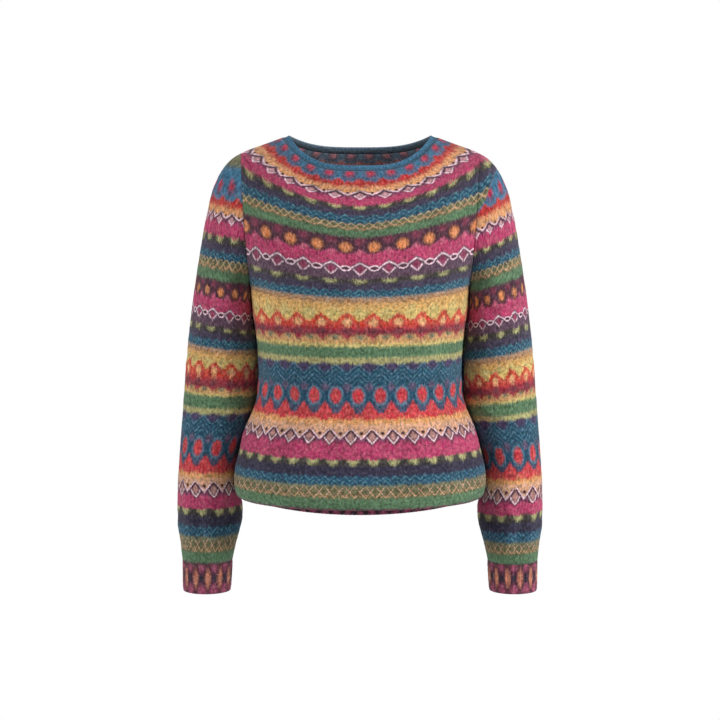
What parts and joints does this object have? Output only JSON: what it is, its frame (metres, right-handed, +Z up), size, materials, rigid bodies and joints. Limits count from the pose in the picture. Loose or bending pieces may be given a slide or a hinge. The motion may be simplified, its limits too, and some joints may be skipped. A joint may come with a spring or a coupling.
{
  "type": "striped sweater",
  "caption": "Long-sleeved knitted sweater with a circular striped yoke, round neck, ribbed cuffs and a bloused hem, filled out as if worn.",
  "frame": {"origin": "midway between the two high points of the shoulders, where the neckband rests on the wearer", "axes": "+Z up, -Y out of the front of the garment, +X towards the wearer's left sleeve"},
  "size_m": [0.562, 0.2485, 0.694],
  "materials": {
    "striped_knit": "brushed wool stocking stitch in bands of blue, red, peach, pink, navy, teal, olive, green and yellow",
    "neck_rib": "blue wool rib",
    "cuff_rib": "maroon wool rib with orange lozenges and pink points"
  },
  "bodies": {
    "root": {"front": "striped_knit", "back": "striped_knit", "sleeve_left": "striped_knit", "sleeve_right": "striped_knit", "neckband": "neck_rib", "cuff_left": "cuff_rib", "cuff_right": "cuff_rib", "hem_rib_front": "cuff_rib", "hem_rib_back": "cuff_rib"}
  },
  "joints": []
}
